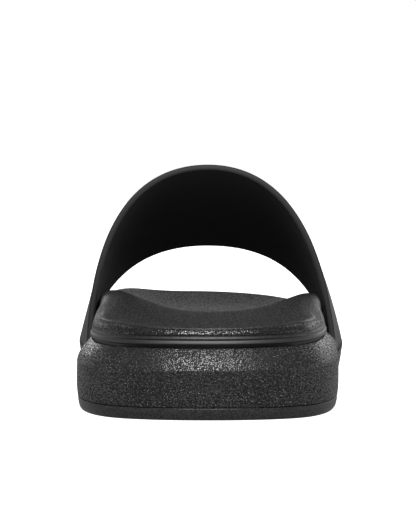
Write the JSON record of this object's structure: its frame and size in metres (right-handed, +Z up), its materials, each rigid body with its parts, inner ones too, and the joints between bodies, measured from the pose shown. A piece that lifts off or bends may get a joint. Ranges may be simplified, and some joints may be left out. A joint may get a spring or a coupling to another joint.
{
  "type": "slide sandal",
  "caption": "Backless slide sandal with a thick foam sole, a dished footbed, a thin rubber outsole and a wide moulded strap over the instep.",
  "frame": {"origin": "on the floor, under the middle of the shoe's bounding box", "axes": "+Y towards the toe, +X towards the lateral (little toe) side, +Z up"},
  "size_m": [0.1046, 0.288, 0.081],
  "materials": {
    "outsole": "matt black rubber",
    "midsole": "pebbled black foam",
    "footbed": "finely pebbled black foam with a smooth bead",
    "strap": "smooth matt black moulding"
  },
  "bodies": {
    "root": {"outsole": "outsole", "midsole": "midsole", "footbed": "footbed", "strap": "strap"}
  },
  "joints": []
}
